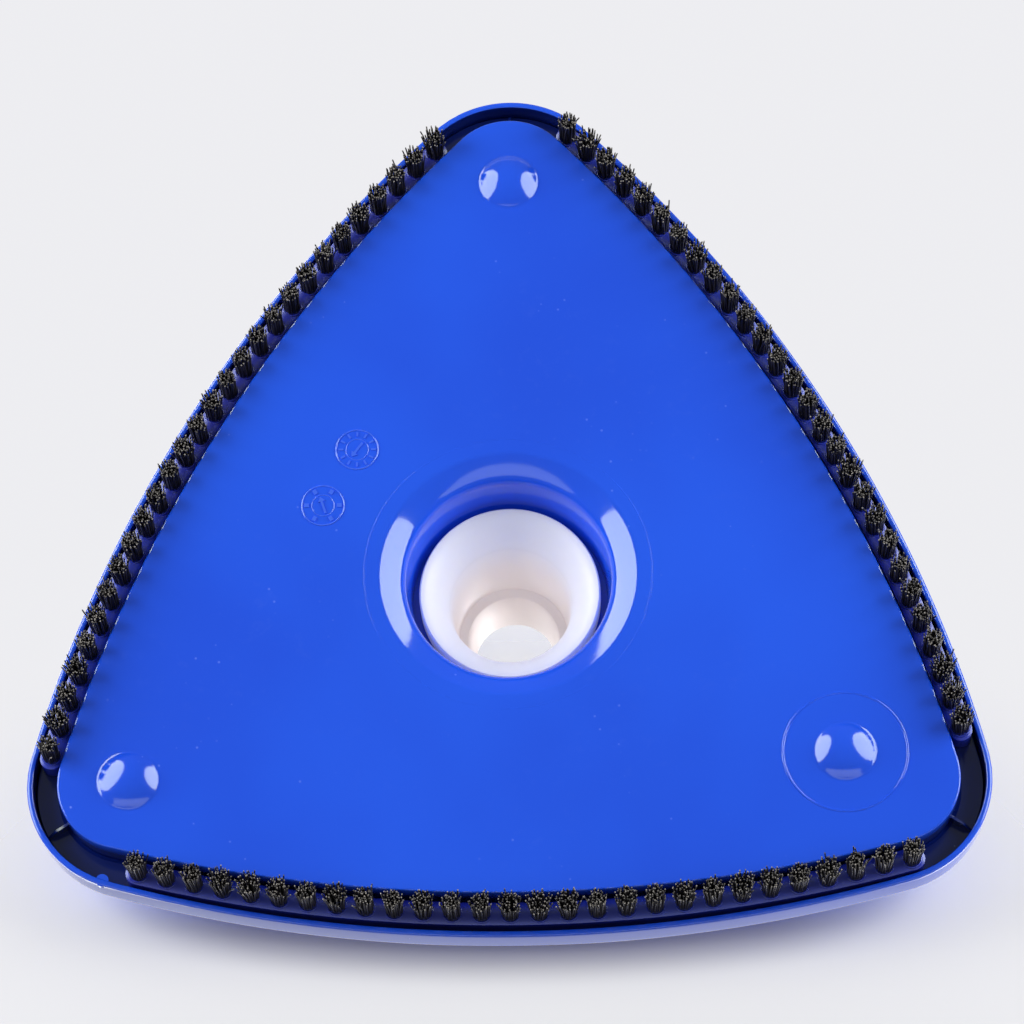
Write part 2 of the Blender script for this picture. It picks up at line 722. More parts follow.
def plate_profile():
    """The plate's closed section, from the throat's top down round the mouth and out to the flange."""
    head = sizes()
    edge = 0.55 * MM
    face, wall = head.plate_z, head.wall
    throat_top = head.seat_z - 0.3 * MM
    profile = [(head.mouth_radius, face)]
    for low, high, reach in ((0, 28, head.mouth_radius - 1.5 * MM), (28, 35, head.lip_radius),
                             (35, 87, head.throat_radius + 1.0 * MM)):
        radius, height = profile[-1]
        low, high = math.radians(low), math.radians(high)
        rounding = (radius - reach) / (math.sin(high) - math.sin(low))
        profile += [(radius - rounding * (math.sin(turn) - math.sin(low)),
                     height + rounding * (math.cos(low) - math.cos(turn)))
                    for turn in np.linspace(low, high, 9)[1:]]
    profile += [(head.throat_radius + 0.1 * MM, face + 14.0 * MM),
                (head.throat_radius - 0.2 * MM, throat_top)]
    profile = [(float(radius), height) for radius, height in reversed(profile)]
    profile += [((head.mouth_radius, plate_outline(edge), step / 12), face) for step in range(1, 12)]
    for step in range(7):
        turn = math.pi / 2 * step / 6
        profile.append((plate_outline(edge * (1 - math.sin(turn))), face + edge * (1 - math.cos(turn))))
    flange = rim_outline(head.rim_wall + 0.6 * MM)
    profile += [
        (plate_outline(0.05 * MM), face + 6 * MM),
        (plate_outline(-0.05 * MM), head.groove_z - 0.8 * MM),
        (plate_outline(-0.8 * MM), head.groove_z),
        (flange, head.groove_z),
        (flange, head.groove_z + wall),
        (plate_outline(wall), head.groove_z + wall),
        (plate_outline(wall), face + wall),
        (head.mouth_radius + wall / 2, face + wall),
        (head.throat_radius + wall, face + 12.0 * MM),
        (head.throat_radius + wall, throat_top),
    ]
    return profile


def groove_rib(angle):
    """The thin rib that crosses the empty groove at a corner, sloping down to the skirt."""
    start = radius_towards(angle, plate_outline()) - 0.6 * MM
    end = start + 7.4 * MM
    half = 0.4 * MM
    low = RIM_Z + 1.9 * MM
    back = sizes().groove_z + 0.5 * MM
    side = [(start, low), (start + 5.0 * MM, low + 1.0 * MM)]
    side += [(end, back - 1.5 * MM), (end, back), (start, back)]
    rings = [[(x, y, z) for x, z in side] for y in (-half, half)]
    return moved(loft(rings, capped=True), Matrix.Rotation(angle, 4, "Z"))


def boss_part(place):
    """A screw's boss behind its dome, with a blind hole."""
    foot, top, hole_end = sizes().plate_z + MM, 19.6 * MM, 10.0 * MM
    outer, hole = 5.2 * MM, 2.0 * MM
    profile = [(0.0, foot), (outer, foot), (outer, top), (hole, top), (hole, hole_end), (0.0, hole_end)]
    return moved(turned(profile, 40), at(place.x, place.y))


class HEAD_OT_bottom_plate(bpy.types.Operator):
    """Build the suction plate with its mouth, domes, rings and groove"""
    bl_idname = "vacuum_head.bottom_plate"
    bl_label = "Bottom plate"

    def execute(self, context):
        head = sizes()
        parts = [loft(rings_through(plate_profile()), closed=True)]
        places = dome_places()
        for name, angle in CORNERS.items():
            parts.append(dome(places[name]))
            parts.append(groove_rib(angle))
            parts.append(boss_part(places[name]))
        right = places["right"]
        parts.append(raised_ring((right.x, right.y), 18.4 * MM, 0.8 * MM, 0.2 * MM))
        parts.append(raised_ring((0.0, 0.0), 43.2 * MM, 0.4 * MM, 0.02 * MM))
        parts += date_wheel((-45.8 * MM, -40.3 * MM), 2.2, 12, 0.3 * MM)
        parts += date_wheel((-55.9 * MM, -22.2 * MM), 4.4, 6, 0.6 * MM)
        plate = make_piece("suction_plate", parts, moulded_blue())
        edge = head.plate_z + 0.8 * MM
        paint(plate, "recess", lambda radius, turn, height: (
            (radius > outline_radius(turn, plate_outline(1.5 * MM)))
            * np.clip((height - edge) / (5 * MM), 0.0, 1.0)))
        paint(plate, "rubbed", lambda radius, turn, height: (
            (radius > 46 * MM) * (radius < 72 * MM) * (height < head.plate_z - 0.05 * MM)).astype(float))
        settle(plate, "head", "bottom_plate")
        return {"FINISHED"}


def shell_profile():
    """The shell's closed section, from the neck's top out over the crown, down the skirt and back inside."""
    head = sizes()
    shoulder, draft = 6.5 * MM, 0.3 * MM
    top = NECK_Z
    crown = [(head.neck_bore, top - 0.6 * MM), (head.neck_bore + 0.6 * MM, top)]
    crown += [(head.neck_radius - 0.8 * MM, top), (head.neck_radius, top - 0.8 * MM)]
    crown += arc((head.neck_radius + 4 * MM, head.crown_z + 4.4 * MM), 4 * MM, 180, 262, 8)
    profile = [(float(radius), height) for radius, height in crown]
    top_edge = rim_outline(shoulder + draft)
    for step in range(27):
        share = step / 26
        bead = 0.5 * MM * math.exp(-((share - 0.93) / 0.018) ** 2)
        profile.append(((head.crown_radius, top_edge, share), crown_height(share) + bead))
    for step in range(1, 9):
        turn = math.pi / 2 * step / 8
        inset = shoulder * (1 - math.sin(turn)) + draft
        profile.append((rim_outline(inset), head.edge_z - shoulder * (1 - math.cos(turn))))
    rim_round = head.rim_wall / 2
    profile += [
        (rim_outline(0.05 * MM), RIM_Z + 3.4 * MM),
        (rim_outline(), RIM_Z + 1.2 * MM),
        (rim_outline(), RIM_Z + 0.6 * MM),
    ]
    for step in range(1, 8):
        turn = math.pi * step / 8
        inset = rim_round * (1 - math.cos(turn))
        profile.append((rim_outline(inset), RIM_Z + 0.55 * MM * (1 - math.sin(turn))))
    profile += [
        (rim_outline(head.rim_wall), RIM_Z + 0.6 * MM),
        (rim_outline(head.rim_wall), RIM_Z + 2.2 * MM),
        (rim_outline(head.rim_wall), RIM_Z + 7.0 * MM),
        (rim_outline(head.rim_wall), head.groove_z + head.wall + 0.6 * MM),
        (rim_outline(shoulder + 2.6 * MM), head.edge_z - head.wall),
    ]
    for share in (0.78, 0.55):
        profile.append(((head.crown_radius, top_edge, share), crown_height(share) - head.wall))
    profile += [(head.crown_radius - MM, head.seat_z), (head.neck_bore, head.seat_z)]
    return profile


def ear_part(side):
    """One upright lug with a bore, flared where it grows out of the shell."""
    head, handle = sizes(), bpy.context.scene.handle_sizes
    steps = 48
    turns = 2 * math.pi * np.arange(steps) / steps
    bore, outer = handle.pin_radius + 0.3 * MM, []
    foot_z = head.seat_z + 3 * MM - PIVOT.z
    for turn in turns:
        y, z = math.cos(turn), math.sin(turn)
        radius = handle.eye_radius
        if z < 0:
            slope = 4 * MM / -foot_z
            wide = handle.eye_radius / max(abs(y) - slope * -z, 1e-6) if abs(y) > slope * -z else 1.0
            radius = min(wide, foot_z / z)
        outer.append((radius * y, radius * z))
    inner = [(bore * math.cos(turn), bore * math.sin(turn)) for turn in turns]
    low, high = handle.ear_inner, handle.ear_inner + handle.ear_wall
    rings = []
    for points, x in ((inner, low), (outer, low), (outer, high), (inner, high)):
        rings.append([(side * x, y, PIVOT.z + z) for y, z in points])
    return loft(rings, closed=True)


def ear_foot(side):
    """The swelling at an ear's root, so that it grows out of the crown."""
    handle = bpy.context.scene.handle_sizes
    x = handle.ear_inner + handle.ear_wall / 2
    turns = 2 * math.pi * np.arange(48) / 48
    square = [[math.copysign(abs(reach) ** 0.4, reach) for reach in wave(turns)] for wave in (np.cos, np.sin)]
    rings = []
    for grow, z in ((3.6, 0.2), (2.0, 0.9), (1.0, 2.0), (0.4, 3.6), (-0.4, 4.6)):
        half_x = handle.ear_wall / 2 + grow * MM
        half_y = handle.eye_radius + 3.6 * MM + grow * MM - z * 0.35 * MM
        height = crown_height(0.02) + z * MM - 1.6 * MM
        rings.append([(side * x + half_x * across, half_y * along, height) for across, along in zip(*square)])
    return loft(rings, capped=True)


def pocket_part(place):
    """The round pocket over a screw's head."""
    seat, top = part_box("nose_screw")[1].z - 3.0 * MM, sizes().crown_z + 2 * MM
    radius = 4.9 * MM
    profile = [(0.0, seat), (radius, seat), (radius, top), (0.0, top)]
    return moved(turned(profile, 48), at(place.x, place.y))


def well_part(place):
    """The cup under a screw's pocket, with a clearance hole."""
    foot, seat, top = 20.0 * MM, 24.0 * MM, 30.0 * MM
    hole, inner, outer = 2.2 * MM, 5.0 * MM, 6.8 * MM
    profile = [(hole, foot), (outer, foot), (outer, top), (inner, top), (inner, seat), (hole, seat)]
    return moved(turned(profile, 48), at(place.x, place.y))


def tab_part():
    """The small round tab inside the rim."""
    turn = math.radians(142)
    reach = radius_towards(turn, rim_outline(sizes().rim_wall - 0.3 * MM))
    radius, low, high = 1.9 * MM, RIM_Z + 0.3 * MM, RIM_Z + 2.0 * MM
    profile = [(0.0, low), (radius, low), (radius, high), (0.0, high)]
    return moved(turned(profile, 32), at(reach * math.cos(turn), reach * math.sin(turn)))


class HEAD_OT_top_shell(bpy.types.Operator):
    """Build the domed shell with its skirt, neck, handle ears and screw pockets"""
    bl_idname = "vacuum_head.top_shell"
    bl_label = "Top shell"

    def execute(self, context):
        head = sizes()
        shell = make_piece("domed_shell", [loft(rings_through(shell_profile()), closed=True)], moulded_blue())
        paint(shell, "recess", lambda radius, turn, height: (
            (radius < outline_radius(turn, rim_outline(head.rim_wall - 0.1 * MM)))
            * (radius > outline_radius(turn, rim_outline(12 * MM))) * (height < 25 * MM)
            * np.clip((height - 1.5 * MM) / (4 * MM), 0.0, 1.0)))
        places = dome_places().values()
        cut(shell, [pocket_part(place) for place in places])
        trim = make_piece("trim", [*map(well_part, places), tab_part()], moulded_blue())
        ears = make_piece("ears", [ear_part(1), ear_part(-1)], moulded_blue(), bevel=0.7 * MM)
        feet = make_piece("feet", [ear_foot(1), ear_foot(-1)], moulded_blue(), smooth=60.0)
        shell = joined("domed_shell", [shell, trim, ears, feet])
        settle(shell, "head", "top_shell")
        return {"FINISHED"}


# ---------------------------------------------------------------- brushes

def groove_point(middle, offset, along):
    """A point a distance along a side, an offset outside the middle of the groove."""
    head = sizes()
    side = (head.plate_side + head.rim_side - head.rim_wall) / 2
    radius = (head.plate_side_radius + head.rim_side_radius - head.rim_wall) / 2
    turn = along / radius
    local = Vector((side - radius + (radius + offset) * math.cos(turn), (radius + offset) * math.sin(turn)))
    local.rotate(Matrix.Rotation(middle, 2))
    return local


def strip_part(middle, shift):
    """A curved carrier bar with round ends and a crowned face, shifted along its side."""
    brush = bpy.context.scene.brush_sizes
    half_length = brush.pitch * (brush.tufts - 1) / 2 + 0.6 * MM
    rings = []
    slope = math.asin(brush.strip_width / 2 / brush.strip_crown)
    levels = [(brush.strip_crown * math.sin(t), STRIP_Z + brush.strip_crown * (1 - math.cos(t)))
              for t in np.linspace(0.02, slope, 7)]
    for half, z in levels + [(brush.strip_width / 2, STRIP_BACK_Z)]:
        outline = [(half, along) for along in np.linspace(-half_length, half_length, 57)]
        outline += [(half * math.cos(turn), half_length + half * math.sin(turn))
                    for turn in np.linspace(0, math.pi, 13)[1:-1]]
        outline += [(-offset, -along) for offset, along in outline]
        points = [groove_point(middle, offset, shift + along) for offset, along in outline]
        rings.append([(point.x, point.y, z) for point in points])
    return loft(rings, capped=True)


def row_path(name, middle, shift, height):
    """The line through a row's tufts, as a curve."""
    brush = bpy.context.scene.brush_sizes
    reach = brush.pitch * (brush.tufts - 1) / 2
    steps = 120
    curve = bpy.data.curves.new(name, "CURVE")
    curve.dimensions = "3D"
    spline = curve.splines.new("POLY")
    spline.points.add(steps)
    for step, point in enumerate(spline.points):
        place = groove_point(middle, 0.0, shift + reach * (2 * step / steps - 1))
        point.co = (place.x + AXIS.x, place.y + AXIS.y, height, 1.0)
    path = bpy.data.objects.new(name, curve)
    bpy.context.scene.collection.objects.link(path)
    return path


class NodeGroup:
    """A geometry node tree being made, with named inputs."""

    def __init__(self, name, inputs):
        self.tree = bpy.data.node_groups.new(name, "GeometryNodeTree")
        self.tree.interface.new_socket("Geometry", in_out="INPUT", socket_type="NodeSocketGeometry")
        self.sockets = {}
        for label, kind, default in inputs:
            socket = self.tree.interface.new_socket(label, in_out="INPUT", socket_type=kind)
            if default is not None:
                socket.default_value = default
            self.sockets[label] = socket.identifier
        self.tree.interface.new_socket("Geometry", in_out="OUTPUT", socket_type="NodeSocketGeometry")
        self.start = self.tree.nodes.new("NodeGroupInput")
        self.end = self.tree.nodes.new("NodeGroupOutput")

    def given(self, label):
        return self.start.outputs[label]

    def node(self, kind, settings=None, inputs=None, output=0):
        """Any node: its settings, then the values or links of its sockets; gives one output."""
        made = self.tree.nodes.new(kind)
        for key, setting in (settings or {}).items():
            setattr(made, key, setting)
        for key, given in (inputs or {}).items():
            socket = made.inputs[key]
            if isinstance(given, bpy.types.NodeSocket):
                self.tree.links.new(given, socket)
            else:
                socket.default_value = given
        return made.outputs[output]

    def math(self, operation, first, second=0.0, third=0.0):
        inputs = {0: first, 1: second}
        if operation == "MULTIPLY_ADD":
            inputs[2] = third
        return self.node("ShaderNodeMath", {"operation": operation}, inputs)

    def vector(self, operation, first, second=None, scale=None):
        inputs = {0: first}
        if second is not None:
            inputs[1] = second
        if scale is not None:
            inputs["Scale"] = scale
        return self.node("ShaderNodeVectorMath", {"operation": operation}, inputs)

    def random(self, low, high, seed, vector=False):
        """A random number or vector for each element."""
        kind = "FLOAT_VECTOR" if vector else "FLOAT"
        first = 0 if vector else 2
        inputs = {first: low, first + 1: high, "Seed": seed}
        return self.node("FunctionNodeRandomValue", {"data_type": kind}, inputs, 0 if vector else 1)

    def instances(self, points, instance, inputs=None):
        """A copy of some geometry on each point."""
        inputs = {"Points": points, "Instance": instance, **(inputs or {})}
        return self.node("GeometryNodeInstanceOnPoints", {}, inputs)

    def circle(self, resolution, radius):
        """A circle of a few points, as a profile or a path."""
        inputs = {"Resolution": resolution, "Radius": radius}
        return self.node("GeometryNodeCurvePrimitiveCircle", {"mode": "RADIUS"}, inputs)

    def path_points(self):
        """The given path, resampled to one point for each tuft."""
        inputs = {"Curve": self.given("Geometry"), "Count": self.given("Tufts")}
        return self.node("GeometryNodeResampleCurve", {}, inputs)

    def stored(self, geometry, name, value, kind="FLOAT", domain="POINT"):
        settings = {"data_type": kind, "domain": domain}
        return self.node("GeometryNodeStoreNamedAttribute", settings,
                         {"Geometry": geometry, "Name": name, "Value": value})

    def named(self, name, kind="FLOAT"):
        return self.node("GeometryNodeInputNamedAttribute", {"data_type": kind}, {"Name": name})

    def close(self, geometry):
        """End the tree in Realize Instances and Set Material."""
        solid = self.node("GeometryNodeRealizeInstances", {}, {"Geometry": geometry})
        painted = self.node("GeometryNodeSetMaterial", {},
                            {"Geometry": solid, "Material": self.given("Material")})
        self.tree.links.new(painted, self.end.inputs["Geometry"])
        return self


def tuft_nodes():
    """Tufts of bristles along a path: each bristle leans, bends and ends at its own height."""
    floats = "NodeSocketFloat"
    group = NodeGroup("bristle_tufts", [
        ("Tufts", "NodeSocketInt", 28), ("Bristles", "NodeSocketInt", 50), ("Tuft Radius", floats, 0.002),
        ("Bristle Radius", floats, 0.0002), ("Length", floats, 0.02), ("Splay", floats, 0.001),
        ("Scatter", floats, 0.001), ("Seed", "NodeSocketInt", 1), ("Material", "NodeSocketMaterial", None),
    ])
    seed = group.given("Seed")
    index = group.node("GeometryNodeInputIndex")
    share = group.math("DIVIDE", group.math("ADD", index, 0.5), group.given("Bristles"))
    turn = group.math("MULTIPLY", index, math.pi * (3 - math.sqrt(5)))
    reach = group.math("MULTIPLY", group.math("SQRT", share), group.given("Tuft Radius"))
    disc_place = group.node("ShaderNodeCombineXYZ", {}, {
        "X": group.math("MULTIPLY", group.math("COSINE", turn), reach),
        "Y": group.math("MULTIPLY", group.math("SINE", turn), reach),
    })
    disc = group.node("GeometryNodePoints", {}, {"Count": group.given("Bristles"), "Position": disc_place})
    full = group.node("ShaderNodeCombineXYZ", {}, {axis: group.given("Tuft Radius") for axis in "XYZ"})
    outward = group.vector("DIVIDE", group.node("GeometryNodeInputPosition"), full)
    disc = group.stored(disc, "lean", outward, "FLOAT_VECTOR")
    path = group.path_points()
    spin = group.node("ShaderNodeCombineXYZ", {}, {"Z": group.random(-0.4, 0.4, seed)})
    roots = group.node("GeometryNodePointsToVertices", {}, {"Points": disc})
    tufts = group.instances(path, roots, {"Rotation": spin})
    chance = group.random(0.0, 1.0, group.math("ADD", seed, 5.0))
    loose = group.math("MULTIPLY_ADD", group.math("POWER", chance, 2.0), 0.9, 0.35)
    tufts = group.stored(tufts, "loose", loose, "FLOAT", "INSTANCE")
    tilt = group.random((-0.7, -0.7, 0.0), (0.7, 0.7, 0.0), group.math("ADD", seed, 6.0), vector=True)
    tufts = group.stored(tufts, "tilt", tilt, "FLOAT_VECTOR", "INSTANCE")
    points = group.node("GeometryNodeRealizeInstances", {}, {"Geometry": tufts})
    end = group.node("ShaderNodeCombineXYZ", {}, {"Z": group.math("MULTIPLY", group.given("Length"), -1.0)})
    inputs = {"Start": (0.0, 0.0, 0.0), "End": end}
    line = group.node("GeometryNodeCurvePrimitiveLine", {"mode": "POINTS"}, inputs)
    line = group.node("GeometryNodeResampleCurve", {}, {"Curve": line, "Count": 6})
    trim = group.node("ShaderNodeCombineXYZ", {}, {
        "X": 1.0, "Y": 1.0, "Z": group.random(0.90, 1.0, group.math("ADD", seed, 1.0))})
    hairs = group.instances(points, line, {"Scale": trim})
    wild = group.random((-1.0, -1.0, 0.0), (1.0, 1.0, 0.0), group.math("ADD", seed, 2.0), vector=True)
    luck = group.random(0.0, 1.0, group.math("ADD", seed, 3.0))
    strong = group.math("MULTIPLY_ADD", group.math("POWER", luck, 16.0), 3.0, 0.6)
    stray = group.vector("SCALE", wild, scale=strong)
    hairs = group.stored(hairs, "stray", stray, "FLOAT_VECTOR", "INSTANCE")
    shade = group.random(0.0, 1.0, group.math("ADD", seed, 4.0))
    hairs = group.stored(hairs, "shade", shade, "FLOAT", "INSTANCE")
    hairs = group.node("GeometryNodeRealizeInstances", {}, {"Geometry": hairs})
    along = group.node("GeometryNodeSplineParameter")
    bend = group.math("POWER", along, 1.6)
    lean, tilt = [group.vector("SCALE", group.named(name, "FLOAT_VECTOR"), scale=group.named("loose"))
                  for name in ("lean", "tilt")]
    splay = group.math("MULTIPLY", group.given("Splay"), bend)
    lean = group.vector("SCALE", group.vector("ADD", lean, tilt), scale=splay)
    scatter = group.math("MULTIPLY", group.given("Scatter"), group.math("POWER", along, 2.0))
    stray = group.vector("SCALE", group.named("stray", "FLOAT_VECTOR"), scale=scatter)
    offset = group.vector("ADD", lean, stray)
    hairs = group.node("GeometryNodeSetPosition", {}, {"Geometry": hairs, "Offset": offset})
    hairs = group.stored(hairs, "along", along)
    ring = group.circle(5, group.given("Bristle Radius"))
    inputs = {"Curve": hairs, "Profile Curve": ring, "Fill Caps": True}
    return group.close(group.node("GeometryNodeCurveToMesh", {}, inputs))


def socket_nodes():
    """Low round collars along a path."""
    floats = "NodeSocketFloat"
    group = NodeGroup("tuft_sockets", [
        ("Tufts", "NodeSocketInt", 28), ("Radius", floats, 0.003), ("Wall", floats, 0.0004),
        ("Material", "NodeSocketMaterial", None),
    ])
    path = group.path_points()
    ring = group.circle(24, group.given("Radius"))
    wall = group.circle(8, group.given("Wall"))
    collar = group.node("GeometryNodeCurveToMesh", {}, {"Curve": ring, "Profile Curve": wall})
    return group.close(group.instances(path, collar))


def grown(name, path, group, values):
    """A plain mesh object from a node tree run on a path."""
    nodes = path.modifiers.new(name, "NODES")
    nodes.node_group = group.tree
    for label, given in values.items():
        nodes[group.sockets[label]] = given
    path.update_tag()
    bpy.context.view_layer.update()
    graph = bpy.context.evaluated_depsgraph_get()
    mesh = bpy.data.meshes.new_from_object(path.evaluated_get(graph), depsgraph=graph)
    path.modifiers.remove(nodes)
    bpy.data.objects.remove(path, do_unlink=True)
    mesh.shade_smooth()
    mesh.set_sharp_from_angle(angle=math.radians(50))
    piece = bpy.data.objects.new(name, mesh)
    bpy.context.scene.collection.objects.link(piece)
    return piece


class HEAD_OT_brushes(bpy.types.Operator):
    """Build the three carrier strips and their rows of bristle tufts"""
    bl_idname = "vacuum_head.brushes"
    bl_label = "Brushes"

    def execute(self, context):
        brush = context.scene.brush_sizes
        bristles, sockets = tuft_nodes(), socket_nodes()
        root = STRIP_Z + 1.0 * MM
        for seed, (name, middle) in enumerate(SIDES.items()):
            shift = ROW_SHIFT[name]
            bar = make_piece(f"{name}_bar", [strip_part(middle, shift)], moulded_navy())
            path = row_path(f"{name}_path", middle, shift, STRIP_Z + 0.35 * MM)
            collars = grown(f"{name}_collars", path, sockets, {
                "Tufts": brush.tufts, "Radius": brush.socket_radius, "Wall": 0.38 * MM,
                "Material": moulded_navy()})
            strip = joined(f"{name}_carrier_strip", [bar, collars])
            settle(strip, "head", f"{name}_brush_strip")
            path = row_path(f"{name}_path", middle, shift, root)
            row = grown(f"{name}_bristle_row", path, bristles, {
                "Tufts": brush.tufts, "Bristles": brush.bristles, "Tuft Radius": brush.tuft_radius,
                "Bristle Radius": brush.bristle_radius, "Length": root, "Splay": brush.splay,
                "Scatter": brush.scatter, "Seed": 11 + 7 * seed, "Material": cut_nylon()})
            settle(row, "head", f"{name}_bristles")
        return {"FINISHED"}


# ---------------------------------------------------------------- nipple

def nipple_profile():
    """The nipple's closed section: bell mouth, bore, step, narrow end, then the outside with its grips."""
    nipple = bpy.context.scene.nipple_sizes
    span = nipple.flange_radius - nipple.bore_radius
    inner = []
    for turn in np.linspace(math.pi / 2, 0, 17):
        deep = math.sin(turn)
        inner.append((nipple.bore_radius + span * (1 - math.sqrt(1 - min(deep, 0.9995) ** 2)),
                      BELL_Z + nipple.bell_depth * (1 - deep)))
    inner[0] = (nipple.flange_radius - 0.5 * MM, BELL_Z)
    inner += [
        (17.1 * MM, nipple.step_z - 2.4 * MM),
        (16.9 * MM, nipple.step_z - 1.4 * MM),
        (14.3 * MM, nipple.step_z - 0.3 * MM),
        (13.9 * MM, nipple.step_z + 0.4 * MM),
        (nipple.end_bore, NIPPLE_Z - 0.5 * MM),
        (nipple.end_bore + 0.5 * MM, NIPPLE_Z),
    ]
    outer = [(15.2 * MM, NIPPLE_Z), (15.7 * MM, NIPPLE_Z - 0.6 * MM)]
    for ridge in (82.0 * MM, 77.5 * MM, 73.0 * MM):
        outer += [(15.85 * MM, ridge + 0.9 * MM), (16.3 * MM, ridge - 0.3 * MM)]
        outer.append((15.9 * MM, ridge - 0.7 * MM))
    outer += [
        (16.3 * MM, nipple.step_z + 1.8 * MM),
        (16.9 * MM, nipple.step_z + 0.6 * MM),
        (18.6 * MM, nipple.step_z),
        (19.2 * MM, nipple.step_z - 0.7 * MM),
    ]
    for ridge in (63.5 * MM, 58.5 * MM, 53.5 * MM):
        outer += [(19.4 * MM, ridge + 0.9 * MM), (20.0 * MM, ridge - 0.3 * MM)]
        outer.append((19.6 * MM, ridge - 0.8 * MM))
    outer += [
        (20.3 * MM, NECK_Z + 4.4 * MM),
        (19.9 * MM, NECK_Z + 3.8 * MM),
        (19.9 * MM, NECK_Z + 0.6 * MM),
        (21.6 * MM, NECK_Z + 0.2 * MM),
        (21.6 * MM, 33.0 * MM),
        (27.1 * MM, 33.0 * MM),
        (nipple.flange_radius, 32.6 * MM),
        (nipple.flange_radius, BELL_Z + 1.1 * MM),
        (nipple.flange_radius - 0.15 * MM, BELL_Z + 0.4 * MM),
    ]
    return inner + outer


class HEAD_OT_nipple(bpy.types.Operator):
    """Build the stepped swivel nipple and the split ring that holds it"""
    bl_idname = "vacuum_head.nipple"
    bl_label = "Hose nipple"

    def execute(self, context):
        parts = [turned(nipple_profile(), 128)]
        lugs = 8
        lug = box_part((19.8 * MM, -1.2 * MM, NECK_Z + 4.4 * MM), (21.4 * MM, 1.2 * MM, NECK_Z + 6.6 * MM))
        for step in range(lugs):
            parts.append(moved(lug, Matrix.Rotation(2 * math.pi * (step + 0.5) / lugs, 4, "Z")))
        nipple = make_piece("swivel_nipple", parts, satin_white(), smooth=32.0)
        settle(nipple, "nipple", "hose_nipple")
        ring = make_piece("split_ring", [split_ring()], satin_white(), bevel=0.35 * MM)
        settle(ring, "nipple", "snap_ring")
        return {"FINISHED"}


def split_ring():
    """A flat ring with a gap, as wide and thick as its CAD node."""
    low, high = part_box("snap_ring")
    inner, outer = 20.2 * MM, (high.y - low.y) / 2
    section = ((inner, low.z), (outer, low.z), (outer, high.z), (inner, high.z))
    opening = math.radians(14)
    rings = []
    for turn in np.linspace(opening / 2, 2 * math.pi - opening / 2, 73):
        rings.append([(radius * math.cos(turn), radius * math.sin(turn), z) for radius, z in section])
    return loft(rings, capped=True)


# ---------------------------------------------------------------- handle, clip and fasteners

def rounded_section(half_width, half_height, corner, steps=5):
    """Points of a rectangle with round corners."""
    points = []
    for sx, sy, start in ((1, 1, 0), (-1, 1, 90), (-1, -1, 180), (1, -1, 270)):
        centre = (sx * (half_width - corner), sy * (half_height - corner))
        points += arc(centre, corner, start, start + 90, steps)
    return points


def fork_part():
    """The fork: a rounded bar swept from one eye round to the other."""
    handle = bpy.context.scene.handle_sizes
    middle = (handle.arm_inner + handle.arm_outer) / 2
    half = (handle.arm_outer - handle.arm_inner) / 2
    depth = 30.5 * MM
    places = [((middle, y), (1.0, 0.0), half) for y in np.linspace(0.0, -handle.arm_straight, 6)[:-1]]
    for turn in np.linspace(0, math.pi, 41):
        place = (middle * math.cos(turn), -handle.arm_straight - depth * math.sin(turn))
        out = Vector((math.cos(turn) / middle, -math.sin(turn) / depth)).normalized()
        places.append((place, tuple(out), half + 2.0 * MM * math.sin(turn) ** 2))
    places += [((-middle, y), (-1.0, 0.0), half) for y in np.linspace(-handle.arm_straight, 0.0, 6)[1:]]
    rings = []
    for place, out, half_width in places:
        section = rounded_section(half_width, handle.arm_height / 2, 2.2 * MM)
        rings.append([(place[0] + out[0] * across, place[1] + out[1] * across, PIVOT.z + up)
                      for across, up in section])
    return loft(rings, capped=True)


def eye_part(side):
    """A fork arm's round end with its bore."""
    handle = bpy.context.scene.handle_sizes
    bore, edge = handle.pin_radius + 0.3 * MM, 0.9 * MM
    low, high = handle.arm_inner, handle.arm_outer
    profile = [(bore, low + 0.3 * MM), (bore + 0.3 * MM, low), (handle.eye_radius - edge, low)]
    profile += arc((handle.eye_radius - edge, low + edge), edge, -90, 0, 4)[1:]
    profile += arc((handle.eye_radius - edge, high - edge), edge, 0, 90, 4)
    profile += [(bore + 0.3 * MM, high), (bore, high - 0.3 * MM)]
    return moved(turned(profile, 64), at(0, 0, PIVOT.z) @ along_x(side))


def stem_part():
    """The hollow stem with a chamfered mouth, a collar and a closed, rounded root."""
    handle = bpy.context.scene.handle_sizes
    start, end = handle.stem_start - 3.2 * MM, AXIS.y - STEM_END_Y
    radius, bore, bore_end = handle.stem_radius, handle.stem_bore, handle.stem_start + 9 * MM
    collar = radius + 0.9 * MM
    profile = [(0.0, start)]
    profile += arc((radius - 3 * MM, start + 3 * MM), 3 * MM, -90, 0, 6)
    profile += [
        (radius, start + 11 * MM), (collar, start + 11.6 * MM), (collar, start + 13.2 * MM),
        (radius, start + 13.8 * MM), (radius - 0.1 * MM, end - 2.2 * MM), (radius - 1.2 * MM, end),
        (bore + 0.6 * MM, end), (bore, end - 0.6 * MM), (bore, bore_end), (0.0, bore_end),
    ]
    return moved(turned(profile, 80), at(0, 0, PIVOT.z) @ along_y())


def gusset_part(side):
    """The web that blends a fork arm into the stem."""
    handle = bpy.context.scene.handle_sizes
    rings = []
    for share in np.linspace(0, 1, 9):
        x = side * (26.0 - 17.0 * share) * MM
        y = -handle.arm_straight - (25.5 + 3.5 * share) * MM
        length = (5.0 + 19.0 * share ** 2.2) * MM
        height = handle.arm_height / 2 - 1.2 * MM
        section = rounded_section(length / 2, height, 1.6 * MM, 4)
        rings.append([(x, y - length / 2 + across, PIVOT.z + up) for across, up in section])
    return loft(rings, capped=True)


